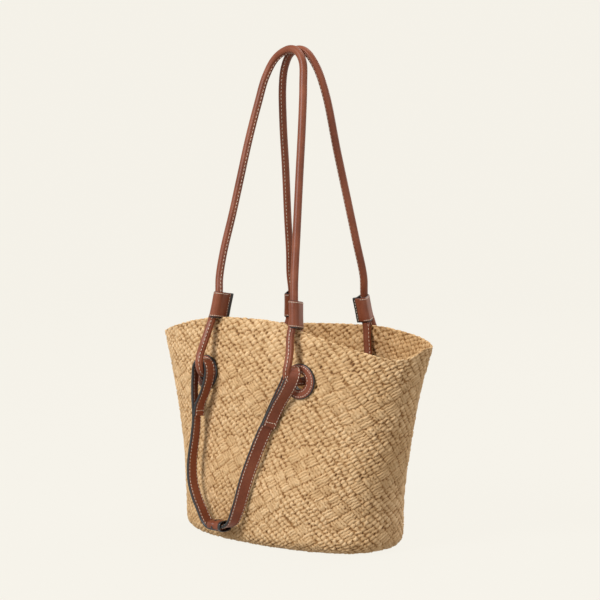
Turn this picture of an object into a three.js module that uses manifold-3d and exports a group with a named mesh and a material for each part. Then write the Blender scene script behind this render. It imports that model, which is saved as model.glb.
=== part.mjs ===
// Woven straw beach bag with rolled leather shoulder handles and short strap handles.
// Units are millimetres, +Z is up, the bag stands on z = 0 and its front faces -Y.
import * as THREE from 'three';
import { mergeVertices } from 'three/addons/utils/BufferGeometryUtils.js';
import Module from 'manifold-3d';

// Basket
const REFERENCE_HEIGHT = 230;
const OVAL_POWER = 2.3;
const HALF_LENGTH = [[0, 139], [14, 139], [57.5, 139.9], [115, 153], [172.5, 168.4], [230, 190.1], [250, 197.6]];
const HALF_DEPTH = [[0, 77.8], [14, 77.8], [57.5, 79.8], [115, 70.9], [172.5, 68.3], [230, 62], [250, 59.8]];
const RIM_HEIGHT = [
  [0, 217], [20, 217.4], [45, 224.4], [72, 230.8], [105, 227], [140, 224], [180, 217], [205, 217.5],
  [228, 227], [250, 237.8], [267, 241.3], [280, 238.2], [291, 228.6], [305, 219.6], [323, 210.4], [342, 206.3],
  [360, 217],
];
const WALL = 4;
const CORNER = 16;
const AROUND = 56;
const GAP = 0.3;

// Eyelets
const EYELET_X = 68.7;
const EYELET_Z = 181;
const EYELET_OUTER = 18.5;
const EYELET_HOLE = 7;
const EYELET_THICK = 1.8;
const EYELET_GAP = 0.35;

// Rolled leather cord of the shoulder handles
const CORD_RADIUS = 4.25;
const CORD_BORE = 2.9;
const CORE_RADIUS = 2.6;
const LEG_SPREAD = 6.7;

// Keepers that bind the two legs of each cord above the rim
const KEEPER_X = 56;
const KEEPER_Y = 57.5;
const KEEPER_Z = { front: 241.6, back: 238 };
const KEEPER_TALL = 25;
const KEEPER_DEEP = 26;
const KEEPER_WIDE = 13.2;
const KEEPER_SKIN = 1.9;
const KEEPER_LEAN = THREE.MathUtils.degToRad(8);

// Short strap handles
const STRAP_WIDE = 14.6;
const STRAP_HALF = 1.6;
const STRAP_DEPTH = [
  [0, 88.9], [20, 88.8], [58, 88.6], [80, 86.6], [97, 83.8], [116, 80.6], [136, 78.8], [160, 77.2], [172, 76.2],
  [182, 75.4], [250, 75.4],
];
const SLEEVE = { left: -37, right: -13, z: 19.5, wide: 17.2, tall: 12, slotWide: 15.2, slotTall: 7.4 };

const manifoldModule = await Module();
manifoldModule.setup();
const { Manifold, Mesh } = manifoldModule;

const MATERIALS = {
  straw: new THREE.MeshStandardMaterial({ color: 0xcda873, roughness: 0.85 }),
  leather: new THREE.MeshStandardMaterial({ color: 0x7a3f2a, roughness: 0.5 }),
  rope: new THREE.MeshStandardMaterial({ color: 0xd9cfb8, roughness: 0.9 }),
};

const bag = new THREE.Group();
bag.name = 'beach_bag';

function addPiece(name, geometry, kind) {
  const mesh = new THREE.Mesh(geometry, MATERIALS[kind].clone());
  mesh.name = name;
  bag.add(mesh);
}

// Smooth curve through a table of [position, value] pairs.
function along(table, position) {
  let i = 0;
  while (i < table.length - 2 && position > table[i + 1][0]) i += 1;
  const slope = (k) => {
    const before = table[Math.max(k - 1, 0)];
    const after = table[Math.min(k + 1, table.length - 1)];
    return (after[1] - before[1]) / (after[0] - before[0]);
  };
  const [x0, y0] = table[i];
  const [x1, y1] = table[i + 1];
  const span = x1 - x0;
  const u = Math.min(Math.max((position - x0) / span, 0), 1);
  const h = (3 - 2 * u) * u * u;
  const start = u * (1 - u) * (1 - u) * span * slope(i);
  const end = u * u * (u - 1) * span * slope(i + 1);
  return y0 * (1 - h) + y1 * h + start + end;
}

function ovalPoint(halfLength, halfDepth, angle) {
  const c = Math.cos(angle);
  const s = Math.sin(angle);
  const x = halfLength * Math.sign(c) * Math.abs(c) ** (2 / OVAL_POWER);
  const y = halfDepth * Math.sign(s) * Math.abs(s) ** (2 / OVAL_POWER);
  return [x, y];
}

// Outside y of the wall at a given x and height, always positive.
function wallY(x, z) {
  const share = (Math.abs(x) / along(HALF_LENGTH, z)) ** OVAL_POWER;
  return along(HALF_DEPTH, z) * (1 - share) ** (1 / OVAL_POWER);
}

// Point at a distance out of the wall's outside surface; side is -1 at the front and 1 at the back.
function wallPoint(x, z, out, side) {
  const step = 0.5;
  const slopeX = (wallY(x + step, z) - wallY(x - step, z)) / (2 * step);
  const slopeZ = (wallY(x, z + step) - wallY(x, z - step)) / (2 * step);
  const normal = new THREE.Vector3(-slopeX, 1, -slopeZ).normalize();
  return [x + normal.x * out, side * (wallY(x, z) + normal.y * out), z + normal.z * out];
}

// Closed surface from rings of points, where each ring runs the same way around.
function ringsToGeometry(rings, closed) {
  const count = rings[0].length;
  const positions = rings.flat(2);
  const index = [];
  const rows = closed ? rings.length : rings.length - 1;
  for (let row = 0; row < rows; row += 1) {
    const next = (row + 1) % rings.length;
    for (let i = 0; i < count; i += 1) {
      const j = (i + 1) % count;
      const a = row * count + i;
      const b = row * count + j;
      const c = next * count + i;
      const d = next * count + j;
      index.push(a, b, c, b, d, c);
    }
  }
  const geometry = new THREE.BufferGeometry();
  geometry.setAttribute('position', new THREE.Float32BufferAttribute(positions, 3));
  geometry.setIndex(index);
  return geometry;
}

function signedVolume(geometry) {
  const p = geometry.attributes.position;
  const index = geometry.index.array;
  const a = new THREE.Vector3();
  const b = new THREE.Vector3();
  const c = new THREE.Vector3();
  let volume = 0;
  for (let i = 0; i < index.length; i += 3) {
    a.fromBufferAttribute(p, index[i]);
    b.fromBufferAttribute(p, index[i + 1]);
    c.fromBufferAttribute(p, index[i + 2]);
    volume += a.dot(b.cross(c)) / 6;
  }
  return volume;
}

// Welds a geometry and turns its faces outward.
function finished(source) {
  const bare = new THREE.BufferGeometry();
  bare.setAttribute('position', source.attributes.position.clone());
  if (source.index) bare.setIndex(source.index.clone());
  const geometry = mergeVertices(bare, 1e-4);
  if (signedVolume(geometry) < 0) {
    const index = geometry.index.array;
    for (let i = 0; i < index.length; i += 3) {
      const keep = index[i + 1];
      index[i + 1] = index[i + 2];
      index[i + 2] = keep;
    }
  }
  geometry.computeVertexNormals();
  return geometry;
}

function toManifold(source) {
  const geometry = finished(source);
  const vertProperties = new Float32Array(geometry.attributes.position.array);
  const triVerts = new Uint32Array(geometry.index.array);
  const mesh = new Mesh({ numProp: 3, vertProperties, triVerts });
  mesh.merge();
  return new Manifold(mesh);
}

function fromManifold(solid) {
  const mesh = solid.getMesh();
  const geometry = new THREE.BufferGeometry();
  geometry.setAttribute('position', new THREE.BufferAttribute(new Float32Array(mesh.vertProperties), 3));
  geometry.setIndex(new THREE.BufferAttribute(new Uint32Array(mesh.triVerts), 1));
  return finished(geometry);
}

// Basket wall: an outside and an inside skin joined at the rim and at the turned-in foot.
function wallRing(inset, heightShare, cornerStep) {
  const ring = [];
  for (let i = 0; i < AROUND; i += 1) {
    const degrees = (360 * i) / AROUND;
    const angle = THREE.MathUtils.degToRad(degrees);
    const rim = along(RIM_HEIGHT, degrees);
    let z = CORNER + (rim - CORNER) * heightShare;
    let pull = inset;
    if (heightShare === 0) {
      const bend = THREE.MathUtils.degToRad(cornerStep);
      z = CORNER - (CORNER - inset) * Math.cos(bend);
      pull = CORNER - (CORNER - inset) * Math.sin(bend);
    }
    const [x, y] = ovalPoint(along(HALF_LENGTH, z) - pull, along(HALF_DEPTH, z) - pull, angle);
    ring.push([x, y, z]);
  }
  return ring;
}

const CORNER_STEPS = [0, 22.5, 45, 67.5, 90];
const HEIGHT_STEPS = [0.1, 0.22, 0.34, 0.46, 0.58, 0.69, 0.8, 0.9, 1];
const wallRings = [];
for (const step of CORNER_STEPS) wallRings.push(wallRing(0, 0, step));
for (const share of HEIGHT_STEPS) wallRings.push(wallRing(0, share, 90));
for (const share of [...HEIGHT_STEPS].reverse()) wallRings.push(wallRing(WALL, share, 90));
for (const step of [...CORNER_STEPS].reverse()) wallRings.push(wallRing(WALL, 0, step));

let wallSolid = toManifold(ringsToGeometry(wallRings, true));
for (const sx of [-1, 1]) {
  for (const sy of [-1, 1]) {
    const drill = new THREE.CylinderGeometry(EYELET_HOLE, EYELET_HOLE, 40, 20);
    drill.translate(sx * EYELET_X, sy * (wallY(EYELET_X, EYELET_Z) - WALL / 2), EYELET_Z);
    wallSolid = wallSolid.subtract(toManifold(drill));
  }
}
addPiece('basket_wall', fromManifold(wallSolid), 'straw');

// Basket base: a flat oval plate inside the turned-in foot.
const baseShape = new THREE.Shape();
for (let i = 0; i < AROUND; i += 1) {
  const angle = (2 * Math.PI * i) / AROUND;
  const inset = CORNER + GAP;
  const [x, y] = ovalPoint(HALF_LENGTH[0][1] - inset, HALF_DEPTH[0][1] - inset, angle);
  if (i === 0) baseShape.moveTo(x, y);
  else baseShape.lineTo(x, y);
}
baseShape.closePath();
const baseGeometry = new THREE.ExtrudeGeometry(baseShape, { depth: WALL, bevelEnabled: false, steps: 1 });
addPiece('basket_base', finished(baseGeometry), 'straw');

// Eyelet rings: flat leather washers that follow the wall outside and inside each hole.
function eyeletRing(sx, side, low, high) {
  const corners = [[EYELET_HOLE, low], [EYELET_OUTER, low], [EYELET_OUTER, high], [EYELET_HOLE, high]];
  const rings = [];
  for (const [radius, out] of corners) {
    const ring = [];
    for (let i = 0; i < 20; i += 1) {
      const angle = (2 * Math.PI * i) / 20;
      const x = sx * EYELET_X + radius * Math.cos(angle);
      const z = EYELET_Z + radius * Math.sin(angle);
      ring.push(wallPoint(x, z, out, side));
    }
    rings.push(ring);
  }
  return finished(ringsToGeometry(rings, true));
}

// Tube swept along a smooth line through points; bore 0 makes it solid.
function sweep(points, radius, bore, steps, facets) {
  const path = new THREE.CatmullRomCurve3(points.map((p) => new THREE.Vector3(...p)), false, 'centripetal');
  const shape = new THREE.Shape();
  for (let i = 0; i < facets; i += 1) {
    const angle = (2 * Math.PI * i) / facets;
    if (i === 0) shape.moveTo(radius, 0);
    else shape.lineTo(radius * Math.cos(angle), radius * Math.sin(angle));
  }
  shape.closePath();
  if (bore > 0) {
    const hole = new THREE.Path();
    for (let i = 0; i < facets; i += 1) {
      const angle = (-2 * Math.PI * i) / facets;
      if (i === 0) hole.moveTo(bore, 0);
      else hole.lineTo(bore * Math.cos(angle), bore * Math.sin(angle));
    }
    hole.closePath();
    shape.holes.push(hole);
  }
  return finished(new THREE.ExtrudeGeometry(shape, { steps, bevelEnabled: false, extrudePath: path }));
}

// Keeper frame of reference: across is towards the bag's centre, up follows the lean.
function keeperPoint(sx, side, across, up) {
  const c = Math.cos(KEEPER_LEAN);
  const s = Math.sin(KEEPER_LEAN);
  const z0 = side < 0 ? KEEPER_Z.front : KEEPER_Z.back;
  const y = side * (KEEPER_Y - across * c - up * s);
  return [sx * KEEPER_X, y, z0 - across * s + up * c];
}

function keeperGeometry(sx, side) {
  const outline = (halfWide, halfDeep, round, target) => {
    target.moveTo(halfWide, -halfDeep + round);
    target.lineTo(halfWide, halfDeep - round);
    target.quadraticCurveTo(halfWide, halfDeep, halfWide - round, halfDeep);
    target.lineTo(-halfWide + round, halfDeep);
    target.quadraticCurveTo(-halfWide, halfDeep, -halfWide, halfDeep - round);
    target.lineTo(-halfWide, -halfDeep + round);
    target.quadraticCurveTo(-halfWide, -halfDeep, -halfWide + round, -halfDeep);
    target.lineTo(halfWide - round, -halfDeep);
    target.quadraticCurveTo(halfWide, -halfDeep, halfWide, -halfDeep + round);
    return target;
  };
  const shape = outline(KEEPER_WIDE / 2, KEEPER_DEEP / 2, 5.5, new THREE.Shape());
  const slot = outline(KEEPER_WIDE / 2 - KEEPER_SKIN, KEEPER_DEEP / 2 - KEEPER_SKIN, 2.4, new THREE.Path());
  shape.holes.push(slot);
  const geometry = new THREE.ExtrudeGeometry(shape, {
    depth: KEEPER_TALL, bevelEnabled: false, steps: 1, curveSegments: 4,
  });
  const p = geometry.attributes.position;
  for (let i = 0; i < p.count; i += 1) {
    const [x, y, z] = keeperPoint(sx, side, p.getY(i), p.getZ(i));
    p.setXYZ(i, x + p.getX(i), y, z);
  }
  return finished(geometry);
}

// Paths of the cord below the keepers: down outside, through the eyelet and up inside.
// Each entry is [x away from the middle, y away from the middle, z]; the upper ends follow the keeper.
const LOOP_PATH = {
  left: [
    [60, 69.5, 228], [61, 77, 213], [58.6, 85.8, 201], [57.7, 88, 193], [58.6, 83.2, 184],
    [62, 75.6, 181.2], [66.7, 67.2, 181], [68.6, 59, 181], [68.2, 50.5, 183.6], [65, 46.8, 193], [60, 47.6, 212],
  ],
  right: [
    [58.6, 70, 228], [62.6, 78, 213], [65.6, 85.8, 201], [66.2, 88, 193], [66.2, 83.4, 184],
    [66.3, 74.5, 181.2], [66.6, 65, 181], [67, 56, 181], [67, 50, 183.8], [65, 46.8, 193], [60, 47.6, 212],
  ],
};

function loopPoints(sx, side) {
  const lift = side < 0 ? 0 : KEEPER_Z.back - KEEPER_Z.front;
  const ends = (across) => [-0.5, -5].map((up) => keeperPoint(sx, side, across, up));
  const middle = LOOP_PATH[sx < 0 ? 'left' : 'right'].map(([x, y, z]) => {
    const share = Math.max((z - 193) / 35, 0);
    return [sx * x, side * y, z + lift * share];
  });
  return [...ends(-LEG_SPREAD), ...middle, ...ends(LEG_SPREAD).reverse()];
}

// Shoulder handle arcs as [x, z] above the keepers.
const ARC = {
  front: [
    [-55.6, 285], [-55, 313], [-50, 353], [-46, 393], [-42, 433], [-36, 473], [-30, 503], [-19, 522.5],
    [-0.5, 531], [11, 528.5], [21, 517], [27, 491], [33, 452], [40.5, 393], [48, 335], [54.5, 285],
  ],
  back: [
    [-54, 285], [-50, 309.5], [-45, 351], [-38, 403], [-32, 453.5], [-25, 493.5], [-18, 513], [-7, 527],
    [5, 531], [17, 527], [28, 511.5], [36, 482], [41, 423], [46, 373], [51, 323], [54.6, 285],
  ],
};
const ARC_TOP_Y = 4.7;
const ARC_TOP_Z = 526;

function arcPoints(side) {
  const level = side < 0 ? 'front' : 'back';
  const ends = (sx) => [0.4, KEEPER_TALL * 0.5, KEEPER_TALL].map((up) => keeperPoint(sx, side, -LEG_SPREAD, up));
  const start = ends(-1)[2];
  const middle = ARC[level].map(([x, z]) => {
    const share = Math.min((z - start[2]) / (ARC_TOP_Z - start[2]), 1);
    return [x, start[1] + (side * ARC_TOP_Y - start[1]) * share, z];
  });
  return [...ends(-1), ...middle, ...ends(1).reverse()];
}

// Flat strip that follows points in the X-Z plane, wide along Y, at the strap's distance from the wall.
function strip(points, half, wide, side) {
  const left = [];
  const right = [];
  const path = new THREE.SplineCurve(points.map((p) => new THREE.Vector2(...p)));
  const count = Math.round(path.getLength() / 7);
  for (let i = 0; i <= count; i += 1) {
    const p = path.getPointAt(i / count);
    const t = path.getTangentAt(i / count);
    left.push(new THREE.Vector2(p.x - t.y * half, p.y + t.x * half));
    right.push(new THREE.Vector2(p.x + t.y * half, p.y - t.x * half));
  }
  const shape = new THREE.Shape([...left, ...right.reverse()]);
  const geometry = new THREE.ExtrudeGeometry(shape, { depth: wide, bevelEnabled: false, steps: 1 });
  const p = geometry.attributes.position;
  for (let i = 0; i < p.count; i += 1) {
    const z = p.getY(i);
    p.setXYZ(i, p.getX(i), side * (along(STRAP_DEPTH, z) + p.getZ(i) - wide / 2), z);
  }
  return geometry;
}

// Strap paths as [x, z]: the run from the folded-over loop down to the joining sleeve, then the folded end.
const STRAP_PATH = {
  left: {
    run: [
      [-60.4, 195], [-67.6, 193.8], [-71.8, 188], [-73, 176], [-72.4, 160], [-70, 145], [-68.6, 133],
      [-69.2, 112], [-69.6, 88], [-66.6, 66], [-60, 49], [-52, 35.5], [-45, 23.6], [-38.5, 18.4], [-33, 17.8],
      [-24, 17.8], [-14, 17.8],
    ],
    fold: [[-61, 195], [-54.5, 193.6], [-51.6, 187], [-52.2, 175], [-57, 160], [-64.4, 146.5], [-65.4, 138], [-65.5, 132]],
  },
  right: {
    run: [
      [66.6, 195], [62.6, 193.8], [60, 188], [57, 177], [52, 162], [44.2, 147], [36, 133], [27.2, 114],
      [19.5, 93], [12.2, 70], [6, 50], [-0.4, 35], [-5.5, 26], [-11.8, 21.7],
      [-17, 21.5], [-26, 21.5], [-33, 21.5],
    ],
    fold: [[66, 195], [70.6, 193.8], [72.5, 188], [72.3, 176], [64, 161], [52, 148], [42.4, 137], [35.2, 124.5]],
  },
};

function strapGeometry(hand, side) {
  const { run, fold } = STRAP_PATH[hand];
  const main = toManifold(strip(run, STRAP_HALF, STRAP_WIDE, side));
  const end = toManifold(strip(fold, STRAP_HALF, STRAP_WIDE - 0.4, side));
  return fromManifold(main.add(end));
}

function sleeveGeometry(side) {
  const oval = (halfWide, halfTall, target) => {
    for (let i = 0; i < 24; i += 1) {
      const angle = (2 * Math.PI * i) / 24;
      const y = halfWide * Math.sign(Math.cos(angle)) * Math.abs(Math.cos(angle)) ** 0.6;
      const z = halfTall * Math.sign(Math.sin(angle)) * Math.abs(Math.sin(angle)) ** 0.6;
      if (i === 0) target.moveTo(y, z);
      else target.lineTo(y, z);
    }
    target.closePath();
    return target;
  };
  const shape = oval(SLEEVE.wide / 2, SLEEVE.tall / 2, new THREE.Shape());
  const slot = new THREE.Path();
  const w = SLEEVE.slotWide / 2;
  const h = SLEEVE.slotTall / 2;
  slot.moveTo(-w, -h);
  slot.lineTo(-w, h);
  slot.lineTo(w, h);
  slot.lineTo(w, -h);
  slot.closePath();
  shape.holes.push(slot);
  const length = SLEEVE.right - SLEEVE.left;
  const geometry = new THREE.ExtrudeGeometry(shape, { depth: length, bevelEnabled: false, steps: 1 });
  const p = geometry.attributes.position;
  const depth = along(STRAP_DEPTH, SLEEVE.z);
  for (let i = 0; i < p.count; i += 1) {
    p.setXYZ(i, SLEEVE.left + p.getZ(i), side * (depth + p.getX(i)), SLEEVE.z + p.getY(i));
  }
  return finished(geometry);
}

for (const [level, side] of [['front', -1], ['back', 1]]) {
  for (const [hand, sx] of [['left', -1], ['right', 1]]) {
    const name = `${level}_${hand}`;
    const outsideLow = EYELET_GAP;
    const insideHigh = -WALL - EYELET_GAP;
    addPiece(`${name}_eyelet_outside`, eyeletRing(sx, side, outsideLow, outsideLow + EYELET_THICK), 'leather');
    addPiece(`${name}_eyelet_inside`, eyeletRing(sx, side, insideHigh - EYELET_THICK, insideHigh), 'leather');
    const loop = loopPoints(sx, side);
    addPiece(`${name}_cord_loop`, sweep(loop, CORD_RADIUS, CORD_BORE, 26, 8), 'leather');
    addPiece(`${name}_cord_loop_core`, sweep(loop, CORE_RADIUS, 0, 26, 6), 'rope');
    const turnedEnd = [0.4, KEEPER_TALL / 2, KEEPER_TALL - 0.6].map((up) => keeperPoint(sx, side, LEG_SPREAD, up));
    addPiece(`${name}_cord_end`, sweep(turnedEnd, CORD_RADIUS, 0, 1, 8), 'leather');
    addPiece(`${name}_keeper`, keeperGeometry(sx, side), 'leather');
    addPiece(`${level}_strap_${hand}`, strapGeometry(hand, side), 'leather');
  }
  addPiece(`${level}_handle`, sweep(arcPoints(side), CORD_RADIUS, CORD_BORE, 46, 8), 'leather');
  addPiece(`${level}_handle_core`, sweep(arcPoints(side), CORE_RADIUS, 0, 46, 6), 'rope');
  addPiece(`${level}_strap_sleeve`, sleeveGeometry(side), 'leather');
}

export default bag;
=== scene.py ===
"""Woven straw beach bag: its looks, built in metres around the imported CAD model."""
import math

import bmesh
import bpy
import numpy as np
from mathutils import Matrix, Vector


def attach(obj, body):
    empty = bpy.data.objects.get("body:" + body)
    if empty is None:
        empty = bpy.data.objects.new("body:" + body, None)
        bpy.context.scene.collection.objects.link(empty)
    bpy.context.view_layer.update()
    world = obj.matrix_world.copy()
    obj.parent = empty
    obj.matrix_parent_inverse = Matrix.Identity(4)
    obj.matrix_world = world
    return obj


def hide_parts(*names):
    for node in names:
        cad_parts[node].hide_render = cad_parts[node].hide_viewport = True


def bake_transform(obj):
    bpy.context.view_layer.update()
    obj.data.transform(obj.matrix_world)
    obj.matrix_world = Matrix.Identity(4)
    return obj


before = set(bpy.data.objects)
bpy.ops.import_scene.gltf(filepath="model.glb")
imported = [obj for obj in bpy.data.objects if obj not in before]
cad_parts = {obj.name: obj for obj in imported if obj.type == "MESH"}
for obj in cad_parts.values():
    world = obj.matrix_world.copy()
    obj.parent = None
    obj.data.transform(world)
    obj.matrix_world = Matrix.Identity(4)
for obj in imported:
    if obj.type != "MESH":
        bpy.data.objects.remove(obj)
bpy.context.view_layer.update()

MM = 0.001

# ---------------------------------------------------------------- camera, in metres
CAMERA_TARGET = Vector((0.0112, 0.0, 0.2602))
CAMERA_AZIMUTH = math.radians(42.19)
CAMERA_ELEVATION = math.radians(4.02)
CAMERA_DISTANCE = 2.0035
CAMERA_LENS = 110.7

# ---------------------------------------------------------------- sizes, in millimetres
# The front is at -y, the left at -x. SIDES and HANDS give each its sign.
SIDES = {"front": -1, "back": 1}
HANDS = {"left": -1, "right": 1}

# Basket: [height, half length] and [height, half depth] of its oval, and [degrees round, rim height].
OVAL_POWER = 2.3
HALF_LENGTH = [[0, 139], [14, 139], [57.5, 139.9], [115, 153], [172.5, 168.4], [230, 190.1], [250, 197.6]]
HALF_DEPTH = [[0, 77.8], [14, 77.8], [57.5, 79.8], [115, 70.9], [172.5, 68.3], [230, 62], [250, 59.8]]
RIM_HEIGHT = [
    [0, 217], [20, 217.4], [45, 224.4], [72, 230.8], [105, 227], [140, 224], [180, 217], [205, 217.5],
    [228, 227], [250, 237.8], [267, 241.3], [280, 238.2], [291, 228.6], [305, 219.6], [323, 210.4],
    [342, 206.3], [360, 217],
]
WALL = 4.0
CORNER = 16.0

# Eyelets
EYELET_X = 68.7
EYELET_Z = 181.0
EYELET_HOLE = 7.0

# Cords
CORD_RADIUS = 4.25
LEG_SPREAD = 6.7
HINGE_Y = 66.0
BEND_START = 222.0

# Keepers. Each leans in and splays out. KEEPER_TURN, KEEPER_SLIDE and KEEPER_SPAN are looked up by
# (side's name, hand's sign): the turn about its height, its shift along x, and its reach up from KEEPER_Z.
KEEPER_X = 54.5
KEEPER_SPLAY = 0.14
KEEPER_Y = 57.5
KEEPER_Z = {"front": 241.6, "back": 238.0}
KEEPER_TALL = 25.0
KEEPER_LEAN = math.radians(8)
KEEPER_TURN = {
    ("front", -1): math.radians(15), ("front", 1): math.radians(25),
    ("back", -1): math.radians(30), ("back", 1): math.radians(25),
}
KEEPER_SLIDE = {("front", -1): 0.0, ("front", 1): 0.0, ("back", -1): 2.6, ("back", 1): 0.0}
KEEPER_SPAN = {
    ("front", -1): (-1.4, 27.0), ("front", 1): (-6.2, 22.6),
    ("back", -1): (-1.0, 26.0), ("back", 1): (-1.0, 26.0),
}

# Short straps: STRAP_DEPTH is [height, distance of the strap's middle from the plane y = 0].
STRAP_WIDE = 16.0
STRAP_THICK = 3.2
STRAP_DEPTH = [
    [0, 88.9], [20, 88.8], [58, 88.6], [80, 86.6], [97, 83.8], [116, 80.6], [136, 78.8], [160, 77.2],
    [172, 76.2], [182, 75.4], [250, 75.4],
]


# ---------------------------------------------------------------- curves
def along(table, position):
    """Smooth curve through [position, value] pairs, as the CAD model draws it."""
    px, py = np.array(table, float).T
    x = np.asarray(position, float)
    i = np.clip(np.searchsorted(px, x, side="right") - 1, 0, len(px) - 2)
    before = np.maximum(np.arange(len(px)) - 1, 0)
    after = np.minimum(np.arange(len(px)) + 1, len(px) - 1)
    slope = (py[after] - py[before]) / (px[after] - px[before])
    span = px[i + 1] - px[i]
    u = np.clip((x - px[i]) / span, 0, 1)
    h = (3 - 2 * u) * u * u
    return (py[i] * (1 - h) + py[i + 1] * h + u * (1 - u) ** 2 * span * slope[i]
            + u * u * (u - 1) * span * slope[i + 1])


def smooth_path(points, step):
    """Centripetal Catmull-Rom line through points, sampled evenly about every step."""
    p = np.array(points, float)
    p = np.vstack([2 * p[0] - p[1], p, 2 * p[-1] - p[-2]])
    fine = []
    for k in range(1, len(p) - 2):
        knots = [0.0]
        for m in range(3):
            knots.append(knots[-1] + max(np.linalg.norm(p[k + m] - p[k + m - 1]) ** 0.5, 1e-6))
        t = np.linspace(knots[1], knots[2], 24, endpoint=False)[:, None]

        def mix(a, b, low, high):
            return (high - t) / (high - low) * a + (t - low) / (high - low) * b

        a1 = mix(p[k - 1], p[k], knots[0], knots[1])
        a2 = mix(p[k], p[k + 1], knots[1], knots[2])
        a3 = mix(p[k + 1], p[k + 2], knots[2], knots[3])
        b1 = mix(a1, a2, knots[0], knots[2])
        b2 = mix(a2, a3, knots[1], knots[3])
        fine.append(mix(b1, b2, knots[1], knots[2]))
    fine = np.vstack(fine + [p[-2][None]])
    length = np.r_[0, np.cumsum(np.linalg.norm(np.diff(fine, axis=0), axis=1))]
    count = max(int(round(length[-1] / step)), 2)
    even = np.linspace(0, length[-1], count + 1)
    return np.stack([np.interp(even, length, fine[:, c]) for c in range(3)], 1)


def tangents(path):
    """Unit directions along a path."""
    d = np.gradient(path, axis=0)
    return d / np.linalg.norm(d, axis=1, keepdims=True)


def unit(v):
    return v / np.linalg.norm(v, axis=-1, keepdims=True)


# ---------------------------------------------------------------- mesh making
def make_piece(name, verts_mm, quads, materials, slots=None):
    """Smooth mesh object from points in millimetres and an array of quads."""
    mesh = bpy.data.meshes.new(name)
    verts = np.ascontiguousarray(np.asarray(verts_mm, float) * MM)
    quads = np.asarray(quads, int)
    mesh.vertices.add(len(verts))
    mesh.vertices.foreach_set("co", verts.ravel())
    mesh.loops.add(quads.size)
    mesh.loops.foreach_set("vertex_index", quads.ravel())
    mesh.polygons.add(len(quads))
    mesh.polygons.foreach_set("loop_start", np.arange(len(quads)) * 4)
    mesh.polygons.foreach_set("loop_total", np.full(len(quads), 4))
    if slots is not None:
        mesh.polygons.foreach_set("material_index", np.asarray(slots, int))
    mesh.update(calc_edges=True)
    mesh.validate()
    mesh.polygons.foreach_set("use_smooth", np.full(len(mesh.polygons), True))
    for material in materials:
        mesh.materials.append(material)
    piece = bpy.data.objects.new(name, mesh)
    bpy.context.scene.collection.objects.link(piece)
    return piece


def point_attribute(piece, name, values):
    """Number or vector at every point, which the materials read by its name."""
    kind = "FLOAT_VECTOR" if np.ndim(values) == 2 else "FLOAT"
    attribute = piece.data.attributes.new(name, kind, "POINT")
    key = "vector" if kind == "FLOAT_VECTOR" else "value"
    attribute.data.foreach_set(key, np.ascontiguousarray(values, np.float32).ravel())


def grid_faces(rows, columns, wrap_rows=False):
    """Quads between rings of points, ring after ring; wrap_rows joins the last ring to the first."""
    r, c = np.meshgrid(np.arange(rows if wrap_rows else rows - 1), np.arange(columns), indexing="ij")
    r2 = (r + 1) % rows
    c2 = (c + 1) % columns
    quads = np.stack([r * columns + c, r * columns + c2, r2 * columns + c2, r2 * columns + c], -1)
    return quads.reshape(-1, 4)


def joined(parts):
    """One (points, quads) pair from several pairs."""
    verts, faces, base = [], [], 0
    for v, f in parts:
        verts.append(v)
        faces.append(np.asarray(f) + base)
        base += len(v)
    return np.vstack(verts), np.vstack(faces)


# ---------------------------------------------------------------- materials
class Nodes:
    """Small helper that adds nodes and links to one material."""

    def __init__(self, name):
        self.material = bpy.data.materials.new(name)
        self.material.use_nodes = True
        self.tree = self.material.node_tree
        self.shader = self.tree.nodes["Principled BSDF"]

    def add(self, kind, **settings):
        """New node with its settings."""
        node = self.tree.nodes.new(kind)
        for key, value in settings.items():
            setattr(node, key, value)
        return node

    def link(self, a, b):
        self.tree.links.new(a, b)

    def set(self, **values):
        """Constants on the shader's own sockets, with _ for a space."""
        for key, value in values.items():
            self.shader.inputs[key.replace("_", " ")].default_value = value

    def ramp(self, source, stops):
        """Colour from a number, through (place, colour) stops."""
        node = self.add("ShaderNodeValToRGB")
        elements = node.color_ramp.elements
        while len(elements) < len(stops):
            elements.new(0.5)
        for element, (place, colour) in zip(elements, stops):
            element.position = place
            element.color = (*colour, 1)
        self.link(source, node.inputs["Fac"])
        return node.outputs["Color"]

    def noise(self, vector, scale, detail=3.0, roughness=0.55):
        node = self.add("ShaderNodeTexNoise")
        node.inputs["Scale"].default_value = scale
        node.inputs["Detail"].default_value = detail
        node.inputs["Roughness"].default_value = roughness
        self.link(vector, node.inputs["Vector"])
        return node.outputs["Fac"]

    def mix(self, a, b, share, blend="MIX"):
        """Mix of two colours, each a socket or a constant."""
        node = self.add("ShaderNodeMix", data_type="RGBA", blend_type=blend)
        for value, socket in ((share, node.inputs[0]), (a, node.inputs[6]), (b, node.inputs[7])):
            if hasattr(value, "links"):
                self.link(value, socket)
            elif isinstance(value, tuple):
                socket.default_value = (*value, 1)
            else:
                socket.default_value = value
        return node.outputs[2]

    def bump(self, height, strength, distance):
        node = self.add("ShaderNodeBump")
        node.inputs["Strength"].default_value = strength
        node.inputs["Distance"].default_value = distance
        self.link(height, node.inputs["Height"])
        self.link(node.outputs["Normal"], self.shader.inputs["Normal"])

    def attribute(self, name, output="Fac"):
        return self.add("ShaderNodeAttribute", attribute_name=name).outputs[output]

    def object_coordinates(self):
        return self.add("ShaderNodeTexCoord").outputs["Object"]


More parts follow.
